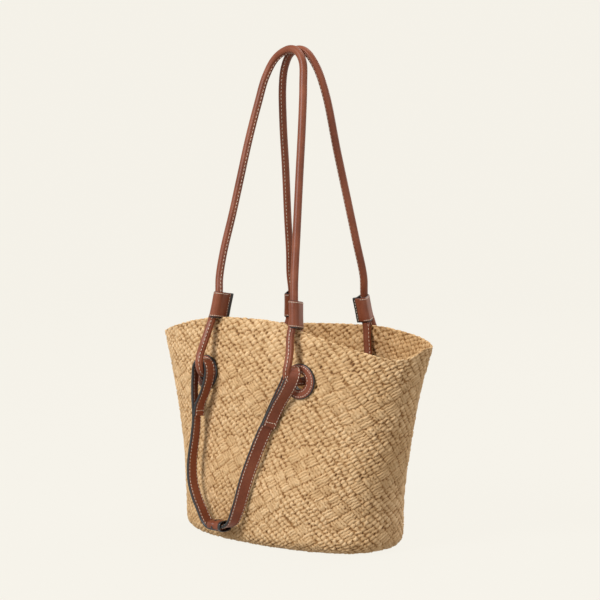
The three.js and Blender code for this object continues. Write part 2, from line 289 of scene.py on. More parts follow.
def straw_material():
    """Palm straw: painted shade darkening the gaps between the knots, a painted highlight on their crowns,
    fine streaks along each strand.
    """
    m = Nodes("straw")
    # Colour by plait height: painted shade, nearly black, deep in the gaps; the straw's own colour midway; a
    # painted highlight on the crowns.
    depth = m.ramp(m.attribute("height"), [
        (0.0, (0.07, 0.024, 0.005)), (0.26, (0.34, 0.165, 0.050)),
        (0.50, (0.64, 0.400, 0.190)), (1.0, (0.84, 0.585, 0.325)),
    ])
    tone = m.ramp(m.attribute("tone"), [
        (0.2, (0.86, 0.82, 0.76)), (0.5, (1.0, 1.0, 1.0)), (0.8, (1.08, 1.08, 1.08)),
    ])
    colour = m.mix(depth, tone, 1.0, "MULTIPLY")
    streak = m.add("ShaderNodeMapping")
    streak.inputs["Scale"].default_value = (0.12, 1.9, 1.0)
    m.link(m.attribute("fibre", "Vector"), streak.inputs["Vector"])
    fine = m.noise(streak.outputs["Vector"], 1.0, 4.0, 0.6)
    streaks = m.ramp(fine, [(0.30, (0.80, 0.76, 0.70)), (0.62, (1.06, 1.06, 1.06))])
    colour = m.mix(colour, streaks, 1.0, "MULTIPLY")
    patches = m.noise(m.object_coordinates(), 14.0, 2.0)
    warm = m.ramp(patches, [(0.35, (0.93, 0.90, 0.85)), (0.65, (1.04, 1.04, 1.05))])
    colour = m.mix(colour, warm, 1.0, "MULTIPLY")
    inner = m.mix((1.0, 1.0, 1.0), (0.93, 0.90, 0.84), m.attribute("inside"))
    colour = m.mix(colour, inner, 1.0, "MULTIPLY")
    m.link(colour, m.shader.inputs["Base Color"])
    m.set(Roughness=0.68, Specular_IOR_Level=0.3)
    m.bump(fine, 0.35, 0.0006)
    return m.material


def leather_material(name, base, dark, light):
    """Smooth waxed leather: cloudy tone, fine pores and a soft shine."""
    m = Nodes(name)
    place = m.object_coordinates()
    cloud = m.noise(place, 38.0, 4.0)
    colour = m.ramp(cloud, [(0.28, dark), (0.5, base), (0.74, light)])
    grain = m.noise(place, 900.0, 3.0, 0.6)
    pores = m.ramp(grain, [(0.36, (0.80, 0.78, 0.76)), (0.55, (1.0, 1.0, 1.0))])
    m.link(m.mix(colour, pores, 1.0, "MULTIPLY"), m.shader.inputs["Base Color"])
    shine = m.add("ShaderNodeMapRange")
    shine.inputs["To Min"].default_value = 0.34
    shine.inputs["To Max"].default_value = 0.52
    m.link(cloud, shine.inputs["Value"])
    m.link(shine.outputs["Result"], m.shader.inputs["Roughness"])
    m.set(Specular_IOR_Level=0.27, Coat_Weight=0.05, Coat_Roughness=0.3)
    m.bump(grain, 0.12, 0.0003)
    return m.material


def edge_material():
    """Black painted leather edge, slightly glossy and uneven."""
    m = Nodes("painted_edge")
    lumps = m.noise(m.object_coordinates(), 420.0, 3.0)
    m.link(m.ramp(lumps, [(0.3, (0.006, 0.006, 0.007)), (0.7, (0.022, 0.020, 0.021))]),
           m.shader.inputs["Base Color"])
    m.set(Roughness=0.36)
    m.bump(lumps, 0.3, 0.0003)
    return m.material


def thread_material():
    """Waxed cream thread with a twist."""
    m = Nodes("thread")
    twist = m.noise(m.object_coordinates(), 1600.0, 2.0)
    m.link(m.ramp(twist, [(0.3, (0.50, 0.36, 0.25)), (0.6, (0.80, 0.66, 0.52))]),
           m.shader.inputs["Base Color"])
    m.set(Roughness=0.6)
    m.bump(twist, 0.3, 0.0002)
    return m.material


STRAW = straw_material()
CORD_LEATHER = leather_material(
    "cord_leather", base=(0.235, 0.062, 0.025), dark=(0.18, 0.044, 0.017), light=(0.30, 0.090, 0.040))
STRAP_LEATHER = leather_material(
    "strap_leather", base=(0.242, 0.064, 0.030), dark=(0.18, 0.045, 0.021), light=(0.30, 0.090, 0.044))
EDGE = edge_material()
THREAD = thread_material()
LEATHER_SET = [CORD_LEATHER, STRAP_LEATHER, EDGE, THREAD]
CORD_SLOT, STRAP_SLOT, EDGE_SLOT, THREAD_SLOT = range(4)


# ---------------------------------------------------------------- woven basket
# The plait: strands that climb and strands that fall, counted once round the basket. Between the zones
# of plain knots run zigzag zones of blocks, where strips lie side by side.
WALL_COLUMNS = 840
STRANDS_UP = 84
STRANDS_DOWN = 84
UP_SLOPE = math.tan(math.radians(29))
DOWN_SLOPE = math.tan(math.radians(48))
BLOCK_UP = 2
BLOCK_DOWN = 3
STRIPS_UP, STRANDS_SHARED = 4, 3
STRIPS_DOWN = 2
ZONE_PITCH = 92.0
ZONE_WIDTH = 0.46
ZONE_TOP = 188.0
ZONE_SWING = 0.7
ZONE_START = 0.1
ZONES_AROUND = 7
DRIFT = 0.30
SLOW_WAVES = [(3, 0.021), (5, -0.034), (9, 0.052), (14, -0.083), (23, 0.11)]
QUICK_WAVES = [(59, 0.62), (83, -0.95), (121, 1.15)]

# How deep the gaps are outside, and on the flatter inside and bottom
RELIEF = 2.5
FLAT_RELIEF = 1.3

# Rows of points up the skin
CORNER_ROWS = 22
WALL_ROWS = 218
RIM_ROWS = 8
INNER_CORNER_ROWS = 14

# Slow bulges of the soft wall
BULGE = 1.1
BULGE_SHARE = 0.6

BASE_COLUMNS = 380
BASE_RINGS = 58


def oval(half_length, half_depth, angle):
    """Point of a superellipse."""
    c, s = np.cos(angle), np.sin(angle)
    power = 2 / OVAL_POWER
    return half_length * np.sign(c) * np.abs(c) ** power, half_depth * np.sign(s) * np.abs(s) ** power


def even_angles(count):
    """Angles that are evenly spaced along the oval's edge at mid height, and the edge's length."""
    fine = np.linspace(0, 2 * np.pi, 40001)
    x, y = oval(153.0, 71.0, fine)
    run = np.r_[0, np.cumsum(np.hypot(np.diff(x), np.diff(y)))]
    return np.interp(np.arange(count) * run[-1] / count, run, fine), run[-1]


ANGLES, GIRTH = even_angles(WALL_COLUMNS)
RIM = along(RIM_HEIGHT, np.degrees(ANGLES))
CU = STRANDS_UP / GIRTH
CV = STRANDS_DOWN / GIRTH
KU = CU / DOWN_SLOPE
KV = CV / UP_SLOPE


def hashed(i, j, salt):
    """Repeatable number from 0 to 1 for a cell of the plait."""
    value = np.sin(i * 12.9898 + j * 78.233 + salt * 37.719) * 43758.5453
    return value - np.floor(value)


def wobble(s, z, salt):
    """Slow uneven drift that closes on itself around the basket."""
    total = 0
    for k, (turns, rise) in enumerate(SLOW_WAVES):
        wave = np.sin(2 * np.pi * turns * s / GIRTH + rise * z + salt * 2.1 + k * 1.7)
        total = total + wave / (1 + 0.6 * k)
    total = total / 2.2
    for turns, rise in QUICK_WAVES:
        total = total + 0.22 * np.sin(2 * np.pi * turns * s / GIRTH + rise * z + salt * 3.3)
    return total


def in_zigzag_zone(block_i, block_j):
    """Whether a block lies in a zigzag zone, and how many whole times round the basket it is."""
    middle_u, middle_v = (block_i + 0.5) * BLOCK_UP, (block_j + 0.5) * BLOCK_DOWN
    det = -CU * KV - KU * CV
    middle_s = (-KV * middle_u - KU * middle_v) / det
    middle_z = (CU * middle_v - CV * middle_u) / det
    phase = middle_s / GIRTH * ZONES_AROUND
    zigzag = 2 * np.abs(phase - np.floor(phase + 0.5))
    place = middle_z / ZONE_PITCH + ZONE_SWING * zigzag + ZONE_START
    inside = ((place - np.floor(place)) < ZONE_WIDTH) & (middle_z < ZONE_TOP)
    return inside, np.floor(middle_s / GIRTH)


def weave(s, z):
    """Height 0..1, tone and fibre coordinates of the plait at s around and z up the wall.

    u and v count the strands across. Each strand's piece is a rounded cushion: along_s and across_s go
    from -1 to 1 over its length and width. A knot covers one cell; in a block the strips are longer."""
    u = CU * s + KU * z + DRIFT * wobble(s, z, 1)
    v = CV * s - KV * z + DRIFT * wobble(s, z, 2)
    block_i, block_j = np.floor(u / BLOCK_UP), np.floor(v / BLOCK_DOWN)
    fancy, turn = in_zigzag_zone(block_i, block_j)
    falling = fancy & ((block_i + block_j) % 2 == 1)
    rising = fancy & ~falling

    i, j = np.floor(u), np.floor(v)
    strip_down = np.floor(STRIPS_DOWN * u)
    strip_up = np.floor(v * STRIPS_UP / STRANDS_SHARED)
    i_key, j_key = i - turn * STRANDS_UP, j - turn * STRANDS_DOWN
    knot = hashed(i_key, j_key, 3)
    knot2 = hashed(i_key, j_key, 4)
    run_up = hashed(strip_up - turn * STRANDS_DOWN * STRIPS_UP / STRANDS_SHARED,
                    block_i - turn * STRANDS_UP / BLOCK_UP, 5)
    run_down = hashed(strip_down - STRIPS_DOWN * turn * STRANDS_UP,
                      block_j - turn * STRANDS_DOWN / BLOCK_DOWN, 6)

    along_knot = 2 * (u - i) - 1 + 0.36 * (hashed(i_key, j_key, 9) - 0.5)
    across_knot = 2 * (v - j) - 1 + 0.38 * (knot2 - 0.5) + 0.66 * along_knot * (knot - 0.5)
    long_up = 2 * (u / BLOCK_UP - block_i) - 1
    long_down = 2 * (v / BLOCK_DOWN - block_j) - 1
    across_down = 2 * (STRIPS_DOWN * u - strip_down) - 1
    across_up = 2 * (v * STRIPS_UP / STRANDS_SHARED - strip_up) - 1

    def chosen(for_falling, for_rising, for_knot):
        return np.where(falling, for_falling, np.where(rising, for_rising, for_knot))

    along_s = chosen(long_down, long_up, along_knot)
    across_s = chosen(across_down, across_up, across_knot)
    rand = chosen(run_down, run_up, knot)
    sharp = np.where(fancy, 6.0, 3.4)
    spread = np.abs(along_s) ** sharp + np.abs(np.clip(across_s, -1, 1)) ** 2.9
    dome = np.clip(1 - spread, 0, 1) ** 0.62
    gap = 0.30 + 0.34 * np.sin(9.1 * u + 5.0 * hashed(i_key, j_key, 11)) * np.sin(7.3 * v + 2.0)
    dome = np.maximum(dome, np.clip(gap, 0, 0.6))
    lean = 1 + 0.22 * along_s * np.where(knot2 > 0.3, 1, -1) * np.where(fancy, 0.35, 1)
    height = np.clip(dome * lean * (0.70 + 0.30 * rand) * np.where(fancy, 0.92, 1.0), 0, 1)
    fibre = np.stack([along_s * chosen(10.5, 9.5, 4.6), across_s * 2.6,
                      40 * rand + np.where(fancy, 50, 0)], -1)
    return height, 0.5 + 0.5 * (knot2 - 0.5), fibre


def wall_rows():
    """Rows of the wall's skin from the foot, up the outside, over the rim and down the inside.

    Each row gives its height, how far it is pulled in, and how far along the skin it is."""
    level = np.zeros_like(RIM)
    rows = []
    for bend in np.linspace(0, np.pi / 2, CORNER_ROWS, endpoint=False):
        rows.append((CORNER - CORNER * np.cos(bend) + level, CORNER - CORNER * np.sin(bend),
                     CORNER - CORNER * (np.pi / 2 - bend) + level))
    shares = np.linspace(0, 1, WALL_ROWS)
    for share in shares:
        z = CORNER + (RIM - CORNER) * share
        rows.append((z, 0.0, z))
    half = WALL / 2
    for turn in np.linspace(0, np.pi, RIM_ROWS)[1:-1]:
        rows.append((RIM + half * np.sin(turn), half - half * np.cos(turn), RIM + half * turn))
    over = RIM + half * np.pi
    for share in shares[::-1]:
        z = CORNER + (RIM - CORNER) * share
        rows.append((z, WALL, over + RIM - z))
    inner = CORNER - WALL
    for bend in np.linspace(np.pi / 2, 0, INNER_CORNER_ROWS)[1:]:
        rows.append((CORNER - inner * np.cos(bend) + level, CORNER - inner * np.sin(bend),
                     over + RIM - CORNER + inner * (np.pi / 2 - bend)))
    return rows


def bulged(points):
    """The wall's points, moved gently in and out except at the foot and the rim."""
    x, z = points[..., 0], points[..., 2]
    soft = np.sin(x * 0.045 + 1.0) * np.sin(z * 0.021) * BULGE
    above_foot = np.clip(z / 120, 0, 1)
    below_rim = np.clip((RIM - z) / 60, 0, 1)
    points[..., 1] += soft * above_foot * below_rim * BULGE_SHARE
    return points


def straw_piece(name, points, quads, heights, tones, fibres, insides):
    """Piece of plait with the numbers that the straw material reads."""
    piece = make_piece(name, points.reshape(-1, 3), quads, [STRAW])
    # The height also sets the straw's painted shade in the gaps and painted highlight on the crowns.
    point_attribute(piece, "height", heights.ravel())
    point_attribute(piece, "tone", tones.ravel())
    point_attribute(piece, "fibre", fibres.reshape(-1, 3))
    point_attribute(piece, "inside", insides.ravel())
    return piece


def basket_wall():
    """The wall's skin, with the plait as real relief and a hole through each eyelet."""
    rows = wall_rows()
    around = np.arange(WALL_COLUMNS) * GIRTH / WALL_COLUMNS
    points, heights, tones, fibres, insides = [], [], [], [], []
    for z, pull, skin in rows:
        x, y = oval(along(HALF_LENGTH, z) - pull, along(HALF_DEPTH, z) - pull, ANGLES)
        height, tone, fibre = weave(around, skin)
        points.append(np.stack([x, y, z], -1))
        heights.append(height)
        tones.append(tone)
        fibres.append(fibre)
        inward = min(max((pull - 1) / 2, 0), 1) if np.mean(z) > CORNER else 0.0
        insides.append(np.full(WALL_COLUMNS, inward))
    points, heights, insides = np.array(points), np.array(heights), np.array(insides)
    side = np.roll(points, -1, 1) - np.roll(points, 1, 1)
    up = np.gradient(points, axis=0)
    normal = unit(np.cross(side, up))
    depth = np.where(insides > 0.5, FLAT_RELIEF, RELIEF)[..., None]
    points = bulged(points + normal * (heights[..., None] - 1) * depth)

    quads = grid_faces(len(rows), WALL_COLUMNS)
    centre = points.reshape(-1, 3)[quads].mean(1)
    hole = np.zeros(len(quads), bool)
    for sx in HANDS.values():
        hole |= np.hypot(centre[:, 0] - sx * EYELET_X, centre[:, 2] - EYELET_Z) < EYELET_HOLE + 2.4
    piece = straw_piece("woven_wall", points, quads[~hole], heights, np.array(tones),
                        np.array(fibres), insides)
    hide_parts("basket_wall")
    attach(piece, "basket")


def basket_base():
    """Oval bottom: the same plait laid flat, below and above."""
    angle = even_angles(BASE_COLUMNS)[0]
    edge_x, edge_y = oval(HALF_LENGTH[0][1] - CORNER - 0.1, HALF_DEPTH[0][1] - CORNER - 0.1, angle)
    outward = np.linspace(0.004, 1, BASE_RINGS)[:, None]
    points, heights, tones, fibres = [], [], [], []
    for level, shares, relief in ((0.0, outward, FLAT_RELIEF), (WALL, outward[::-1], -FLAT_RELIEF)):
        x, y = shares * edge_x, shares * edge_y
        height, tone, fibre = weave(x + GIRTH, y + 300)
        points.append(np.stack([x, y, level + (1 - height) * relief], -1))
        heights.append(height)
        tones.append(tone)
        fibres.append(fibre)
    quads = grid_faces(2 * BASE_RINGS, BASE_COLUMNS, wrap_rows=True)[:, ::-1]
    insides = np.repeat([0.0, 1.0], BASE_RINGS * BASE_COLUMNS)
    piece = straw_piece("woven_base", np.concatenate(points), quads, np.concatenate(heights),
                        np.concatenate(tones), np.concatenate(fibres), insides)
    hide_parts("basket_base")
    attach(piece, "basket")


# ---------------------------------------------------------------- leather work
STITCH_RINGS = 5
STITCH_SIDES = 6
STITCH_LIFT = 0.12
# (pitch, length, radius) of each kind of stitch
CORD_STITCH = (4.2, 2.7, 0.36)
BAND_STITCH = (2.4, 2.2, 0.34)
TAB_STITCH = (3.0, 2.1, 0.36)
EYELET_STITCH = (3.0, 2.0, 0.40)
STRAP_STITCH = (3.7, 2.5, 0.40)
FOLD_STITCH = (3.0, 2.3, 0.5)

CORD_SIDES = 28
CORD_STEP = 2.4
LOOP_STEP = 1.6
CORD_STITCH_LEAN = 0.34

# The keeper's outline, in the keeper's own frame
BAND_HALF = 4.4
BAND_OUTER = -6.6
BAND_INNER = 6.2
BAND_SKIN = 1.4
BAND_LINING = 0.1
BAND_THREAD = 1.46
BAND_FACE = 5.86


def stitch_run(path, normal, pitch, length, radius):
    """Row of thread stitches that lie on a surface along a path, as points and quads."""
    run = np.r_[0, np.cumsum(np.linalg.norm(np.diff(path, axis=0), axis=1))]
    direction = tangents(path)
    parts = []
    for place in np.arange(pitch * 0.5, run[-1] - pitch * 0.3, pitch):
        def here(values):
            return np.array([np.interp(place, run, column) for column in values.T])

        forward = unit(here(direction))
        out = here(normal)
        out = unit(out - forward * (out @ forward))
        across = np.cross(forward, out)
        centre = here(path) + out * STITCH_LIFT
        points = []
        for k in range(STITCH_RINGS):
            a = np.pi * (k + 0.35) / (STITCH_RINGS - 0.3)
            reach, thick = -math.cos(a) * length / 2, max(math.sin(a), 0.25) ** 0.6 * radius
            for m in range(STITCH_SIDES):
                b = 2 * np.pi * m / STITCH_SIDES
                points.append(centre + forward * reach + across * thick * math.cos(b)
                              + out * thick * 0.8 * math.sin(b))
        parts.append((np.array(points), grid_faces(STITCH_RINGS, STITCH_SIDES)))
    return joined(parts)


def add_leather(name, parts, node, body=None, blend=None):
    """Piece from (points, quads, slot) parts; it rides body, or, when blend is given, stays unparented with
    its transform baked.
    """
    verts, quads = joined([(v, f) for v, f, _ in parts])
    slots = np.concatenate([np.full(len(f), s) if np.isscalar(s) else s for _, f, s in parts])
    piece = make_piece(name, verts, quads, LEATHER_SET, slots)
    shape = bmesh.new()
    shape.from_mesh(piece.data)
    bmesh.ops.holes_fill(shape, edges=shape.edges, sides=41)
    bmesh.ops.recalc_face_normals(shape, faces=shape.faces)
    shape.to_mesh(piece.data)
    shape.free()
    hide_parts(*node)
    if blend:
        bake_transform(piece)
    else:
        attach(piece, body)


def edge_or(slot, edge, rows):
    """Slots of rings of quads: the painted edge between two points that are both marked as edge."""
    column = np.tile(np.arange(len(edge)), rows)
    return np.where(edge[column] & edge[(column + 1) % len(edge)], EDGE_SLOT, slot)


def keeper_point(sx, side, across, up, level, wide=0.0):
    """Point in a keeper's own frame: across it from outside to inside, up it, and wide along the wall."""
    c, s = math.cos(KEEPER_LEAN), math.sin(KEEPER_LEAN)
    angle = KEEPER_TURN[level, sx]
    turn = side * across * math.sin(angle) + wide * math.cos(angle)
    reach = across * math.cos(angle) - side * wide * math.sin(angle)
    x = sx * (KEEPER_X + (KEEPER_TALL - up) * KEEPER_SPLAY) + turn + KEEPER_SLIDE[level, sx]
    return [x, side * (KEEPER_Y - reach * c - up * s), KEEPER_Z[level] - reach * s + up * c]


# ---------------------------------------------------------------- cords
# Cord loop at the back, mirrored for the front and the left: down outside, in through the eyelet, up
LOOP_PATH = {
    "left": [
        [60, 69.5, 228], [61, 76, 213], [59.2, 83.4, 201], [58.2, 85.6, 193], [58.8, 82.6, 184.6],
        [62, 75.6, 181.2], [66.7, 67.2, 181], [68.6, 59, 181], [68.2, 50.5, 183.6], [65, 46.8, 193],
        [60, 47.6, 212],
    ],
    "right": [
        [60.0, 69, 228], [64.0, 74.2, 213], [66.2, 79.0, 201], [66.0, 81.2, 193], [65.6, 79.6, 185.6],
        [66.0, 73.5, 181.4], [67.4, 65, 181], [68.4, 56.5, 181], [68.4, 50.8, 184.6], [67.4, 49.6, 193],
        [64.0, 51.2, 212],
    ],
}
# The loop is stretched above this height where the keeper sits higher or lower than the front one
STRETCH_Z = 193
STRETCH_SPAN = 35
# [height up the keeper, shift along the wall] of the outer leg in and under the keeper
OUTER_LEG = [(9, 0.6), (-1.5, 2.4), (-6, 2.8)]
INNER_LEG = [-5, -0.5, 9]
ARC_LEG = [2, 12.5, 25]

# Shoulder handle, [x, z] from the left keeper over the top to the right one
ARC = {
    "front": [
        [-55.6, 285], [-55, 313], [-50, 353], [-46, 393], [-42, 433], [-36, 473], [-30, 503],
        [-19, 522.5], [-0.5, 531], [11, 528.5], [21, 517], [27, 491], [33, 452], [40.5, 393],
        [48, 335], [54.5, 285],
    ],
    "back": [
        [-54, 285], [-50, 309.5], [-45, 351], [-38, 403], [-32, 453.5], [-25, 493.5], [-18, 513],
        [-7, 527], [5, 531], [17, 527], [28, 511.5], [36, 482], [41, 423], [46, 373], [51, 323],
        [54.6, 285],
    ],
}
ARC_TOP_Y = 4.7
ARC_TOP_Z = 526.0


def cord(path, seam):
    """Rolled leather cord: a round with a shallow stitched groove on the seam side."""
    forward = tangents(path)
    out = unit(seam - forward * np.sum(seam * forward, 1, keepdims=True))
    across = np.cross(forward, out)
    angle = 2 * np.pi * np.arange(CORD_SIDES) / CORD_SIDES
    angle = angle - 0.55 * np.sin(angle)
    wrapped = (angle + np.pi) % (2 * np.pi) - np.pi
    groove = 0.13 * np.exp(-(wrapped / 0.10) ** 2)
    lips = 0.03 * np.exp(-((np.abs(wrapped) - 0.3) / 0.2) ** 2)
    size = CORD_RADIUS * (1 - groove + lips)
    rings = (path[:, None] + out[:, None] * (size * np.cos(angle))[None, :, None]
             + across[:, None] * (size * np.sin(angle))[None, :, None])
    stitch_out = out * math.cos(CORD_STITCH_LEAN) + across * math.sin(CORD_STITCH_LEAN)
    stitch_path = (path + out * CORD_RADIUS * math.cos(CORD_STITCH_LEAN)
                   + across * CORD_RADIUS * math.sin(CORD_STITCH_LEAN))
    return [
        (rings.reshape(-1, 3), grid_faces(len(path), CORD_SIDES), CORD_SLOT),
        (*stitch_run(stitch_path, stitch_out, *CORD_STITCH), THREAD_SLOT),
    ]


def loop_path(hand, level):
    """Route of a cord loop, from inside the keeper, through the eyelet and back into the keeper."""
    sx, side = HANDS[hand], SIDES[level]
    lift = KEEPER_Z[level] - KEEPER_Z["front"]
    outside = [keeper_point(sx, side, -LEG_SPREAD, up, level, side * shift) for up, shift in OUTER_LEG]
    inside = [keeper_point(sx, side, LEG_SPREAD, up, level) for up in INNER_LEG]
    middle = [[sx * x, side * y, z + lift * max((z - STRETCH_Z) / STRETCH_SPAN, 0)]
              for x, y, z in LOOP_PATH[hand]]
    return smooth_path(outside + middle + inside, LOOP_STEP)


def arc_path(level):
    """Route of a shoulder handle; it leans in as it rises, until the two handles nearly touch."""
    side = SIDES[level]
    left, right = [[keeper_point(sx, side, -LEG_SPREAD, up, level) for up in ARC_LEG] for sx in (-1, 1)]
    _, y0, z0 = left[-1]
    middle = []
    for x, z in ARC[level]:
        share = min((z - z0) / (ARC_TOP_Z - z0), 1)
        middle.append([x, y0 + (side * ARC_TOP_Y - y0) * share, z])
    return smooth_path(left + middle + right[::-1], CORD_STEP)


def shoulder_handles():
    """The two long handles. The front one's seam turns outward with its arch."""
    for level, side in SIDES.items():
        path = arc_path(level)
        if side < 0:
            seam = np.cross(tangents(path), unit(np.array([0.0, -1.0, -0.2]))) + np.array([0.0, -0.75, 0.0])
        else:
            seam = np.tile([0.12, -1.0, 0.0], (len(path), 1))
        add_leather(f"{level}_handle_skin", cord(path, seam), body=f"{level}_handle",
                    node=(f"{level}_handle", f"{level}_handle_core"))


def handle_loops():
    """The four lower loops, which bend between the basket and the handle."""
    for level, side in SIDES.items():
        for hand, sx in HANDS.items():
            path = loop_path(hand, level)
            seam = np.tile([sx * -0.2 + 0.85, -0.6, 0.0], (len(path), 1))
            hinge = (0, side * HINGE_Y * MM)
            bend = (*hinge, BEND_START * MM), (*hinge, KEEPER_Z[level] * MM - MM)
            name = f"{level}_{hand}_cord"
            add_leather(
                f"{level}_{hand}_loop_skin", cord(path, seam),
                blend=("basket", f"{level}_handle", *bend),
                node=(f"{name}_loop", f"{name}_loop_core", f"{name}_end"),
            )


# ---------------------------------------------------------------- keepers
# Rings up the band, as shares of its height, and how much each swells
BAND_RINGS = [(0.0, -0.45), (0.014, -0.1), (0.05, 0.05), (0.25, 0.0), (0.5, -0.1), (0.75, 0.0),
              (0.95, 0.05), (0.986, -0.1), (1.0, -0.45)]
# Sewn tab: which sides of the outline are painted edge, its faces' places across, and its middle
TAB_EDGE = (24, 25, 26)
TAB_FACES = (6.5, 10.15)
TAB_MIDDLE = (8.4, 6.9)


def keeper_outline(offset, way):
    """Closed outline (across, wide) of the wrapped band; its sewn tab sticks out on one side."""
    half = BAND_HALF + offset
    points = [[BAND_OUTER + half * math.cos(a), half * math.sin(a)]
              for a in np.linspace(np.pi / 2, 3 * np.pi / 2, 15)]
    points += [[BAND_INNER + half * math.cos(a), half * math.sin(a)]
               for a in np.linspace(-np.pi / 2, 0.35, 9)]
    points += [[10.2, half + 0.2], [10.0, half + 3.0], [7.2, half + 3.0], [6.9, half + 1.6],
               [6.4, half + 0.4], [4.6, half]]
    return np.array(points) * [1, way]


def band_stitches(placed, low, high, way):
    """A line of thread round each end of the band, and one down each face of its tab."""
    runs = []
    for up in (low + 2.3, high - 1.9):
        centre = np.array(placed(0, up, 0))
        round_back = keeper_outline(BAND_THREAD, way)[:TAB_EDGE[0]]
        line = smooth_path(np.array([placed(a, up, w) for a, w in round_back]), 1.0)
        runs.append(stitch_run(line, line - centre, *BAND_STITCH))
        front = np.array([placed(a, up, way * BAND_FACE) for a in np.linspace(4.4, BAND_OUTER, 12)])
        out = np.array(placed(0, up, way)) - centre
        runs.append(stitch_run(front, np.tile(out, (len(front), 1)), *BAND_STITCH))
    for face in TAB_FACES:
        line = np.array([placed(face, up, way * TAB_MIDDLE[1]) for up in np.linspace(low + 1, high - 1, 24)])
        out = np.array(placed(face, 12, 0)) - np.array(placed(TAB_MIDDLE[0], 12, 0))
        runs.append(stitch_run(line, np.tile(out, (len(line), 1)), *TAB_STITCH))
    return [(*run, THREAD_SLOT) for run in runs]


def keeper(level, hand):
    """Leather band wrapped round the two legs of a cord, with black edges and a sewn tab."""
    side, sx = SIDES[level], HANDS[hand]
    way = -sx
    low, high = KEEPER_SPAN[level, sx]

    def placed(across, up, wide):
        return keeper_point(sx, side, across, up, level, wide)

    outlines = [(low + (high - low) * share, BAND_SKIN + swell) for share, swell in BAND_RINGS]
    outlines += [(high - 0.2, BAND_LINING), (low + 0.2, BAND_LINING)]
    rings = np.array([[placed(a, up, w) for a, w in keeper_outline(offset, way)] for up, offset in outlines])
    count = rings.shape[1]
    row = np.repeat(np.arange(len(rings)), count)
    column = np.tile(np.arange(count), len(rings))
    dark = (row <= 1) | (row >= len(BAND_RINGS) - 2) | np.isin(column, TAB_EDGE)
    band = (rings.reshape(-1, 3), grid_faces(len(rings), count, wrap_rows=True),
            np.where(dark, EDGE_SLOT, CORD_SLOT))
    add_leather(f"{level}_{hand}_keeper_skin", [band] + band_stitches(placed, low, high, way),
                body=f"{level}_handle", node=(f"{level}_{hand}_keeper",))


def keepers():
    """A keeper above each cord loop."""
    for level in SIDES:
        for hand in HANDS:
            keeper(level, hand)


# ---------------------------------------------------------------- eyelets
EYELET_COLUMNS = 72
# (radius, distance from the wall, whether it is painted edge) from the hole outward
EYELET_PROFILE = [
    (8.6, 0.2, 1), (8.5, 0.9, 1), (8.6, 1.6, 1), (9.0, 2.05, 1), (9.4, 2.15, 0), (10.6, 2.2, 0),
    (13.4, 2.3, 0), (16.0, 2.2, 0), (17.0, 2.1, 0), (17.6, 1.95, 1), (18.4, 1.5, 1), (18.7, 0.9, 1),
    (18.6, 0.0, 1),
]
EYELET_SLEEVE = (8.7, -1.9)
EYELET_STITCH_RADII = (16.0, 10.7)
EYELET_FACE = 2.22


def wall_point(x, z, out, side):
    """Point at x, z that is out from the wall's outer face."""
    def y_at(px, pz):
        share = (np.abs(px) / along(HALF_LENGTH, pz)) ** OVAL_POWER
        return along(HALF_DEPTH, pz) * (1 - share) ** (1 / OVAL_POWER)

    slope_x = y_at(x + 0.5, z) - y_at(x - 0.5, z)
    slope_z = y_at(x, z + 0.5) - y_at(x, z - 0.5)
    normal = unit(np.stack([-slope_x, np.ones_like(slope_x), -slope_z], -1))
    return np.stack([x + normal[..., 0] * out, side * (y_at(x, z) + normal[..., 1] * out),
                     z + normal[..., 2] * out], -1)


def eyelet_ring(sx, side, base, way):
    """Stitched leather ring that lies on the wall and lines its hole; way 1 is outside, -1 inside."""
    turn = 2 * np.pi * np.arange(EYELET_COLUMNS) / EYELET_COLUMNS

    def circle(radius, out, angle=turn):
        x = sx * EYELET_X + radius * np.cos(angle)
        return wall_point(x, EYELET_Z + radius * np.sin(angle), out, side)

    rings = [circle(EYELET_SLEEVE[0], base + way * EYELET_SLEEVE[1])]
    rings += [circle(radius, base + way * (out if out > 0.3 else 0.0)) for radius, out, _ in EYELET_PROFILE]
    edge = np.array([1] + [flag for _, _, flag in EYELET_PROFILE])
    faces = grid_faces(len(rings), EYELET_COLUMNS)
    row = np.repeat(np.arange(len(rings) - 1), EYELET_COLUMNS)
    slots = np.where(edge[row] & edge[row + 1], EDGE_SLOT, STRAP_SLOT)
    if side * way > 0:
        faces = faces[:, ::-1]
    parts = [(np.array(rings).reshape(-1, 3), faces, slots)]
    for radius in EYELET_STITCH_RADII:
        line = circle(radius, base + way * EYELET_FACE, np.linspace(0, 2 * np.pi, 181))
        out = np.tile([0.0, side * way, 0.0], (len(line), 1))
        parts.append((*stitch_run(line, out, *EYELET_STITCH), THREAD_SLOT))
    return parts


def eyelets():
    """A ring outside and one inside round each of the four holes."""
    for level, side in SIDES.items():
        for hand, sx in HANDS.items():
            for place, base, way in (("outside", 0.0, 1), ("inside", -WALL, -1)):
                add_leather(f"{level}_{hand}_eyelet_{place}_skin", eyelet_ring(sx, side, base, way),
                            body="basket", node=(f"{level}_{hand}_eyelet_{place}",))


# ---------------------------------------------------------------- short straps
# [x, z] from the end of the fold, up and over the cord loop, and down to the sleeve
STRAP_PATH = {
    "left": [
        [-65.0, 134.5], [-64.9, 139], [-63.6, 146.5], [-57, 160], [-52.2, 175], [-51.6, 187],
        [-54.5, 193.4], [-60.7, 195.2], [-67.2, 193.6], [-71.8, 188], [-73, 176], [-72.4, 160],
        [-70, 145], [-68.6, 133], [-69.2, 112], [-69.6, 88], [-66.6, 66], [-60, 49], [-52, 35.5],
        [-45, 24.5], [-38, 18.8], [-30, 17.8], [-20, 17.8],
    ],
    "right": [
        [39.0, 131.5], [43.0, 138], [50.6, 148], [60.4, 161], [70.6, 176], [72.3, 188], [70.6, 193.6],
        [66.4, 195.2], [62.6, 193.6], [60.4, 188], [59.2, 177], [54.4, 162], [45.8, 147], [36, 133],
        [27.2, 114], [19.5, 93], [12.2, 70], [6, 50], [-0.4, 35], [-5.5, 26], [-12.5, 21.6],
        [-20, 20.6], [-27, 20.6],
    ],
}
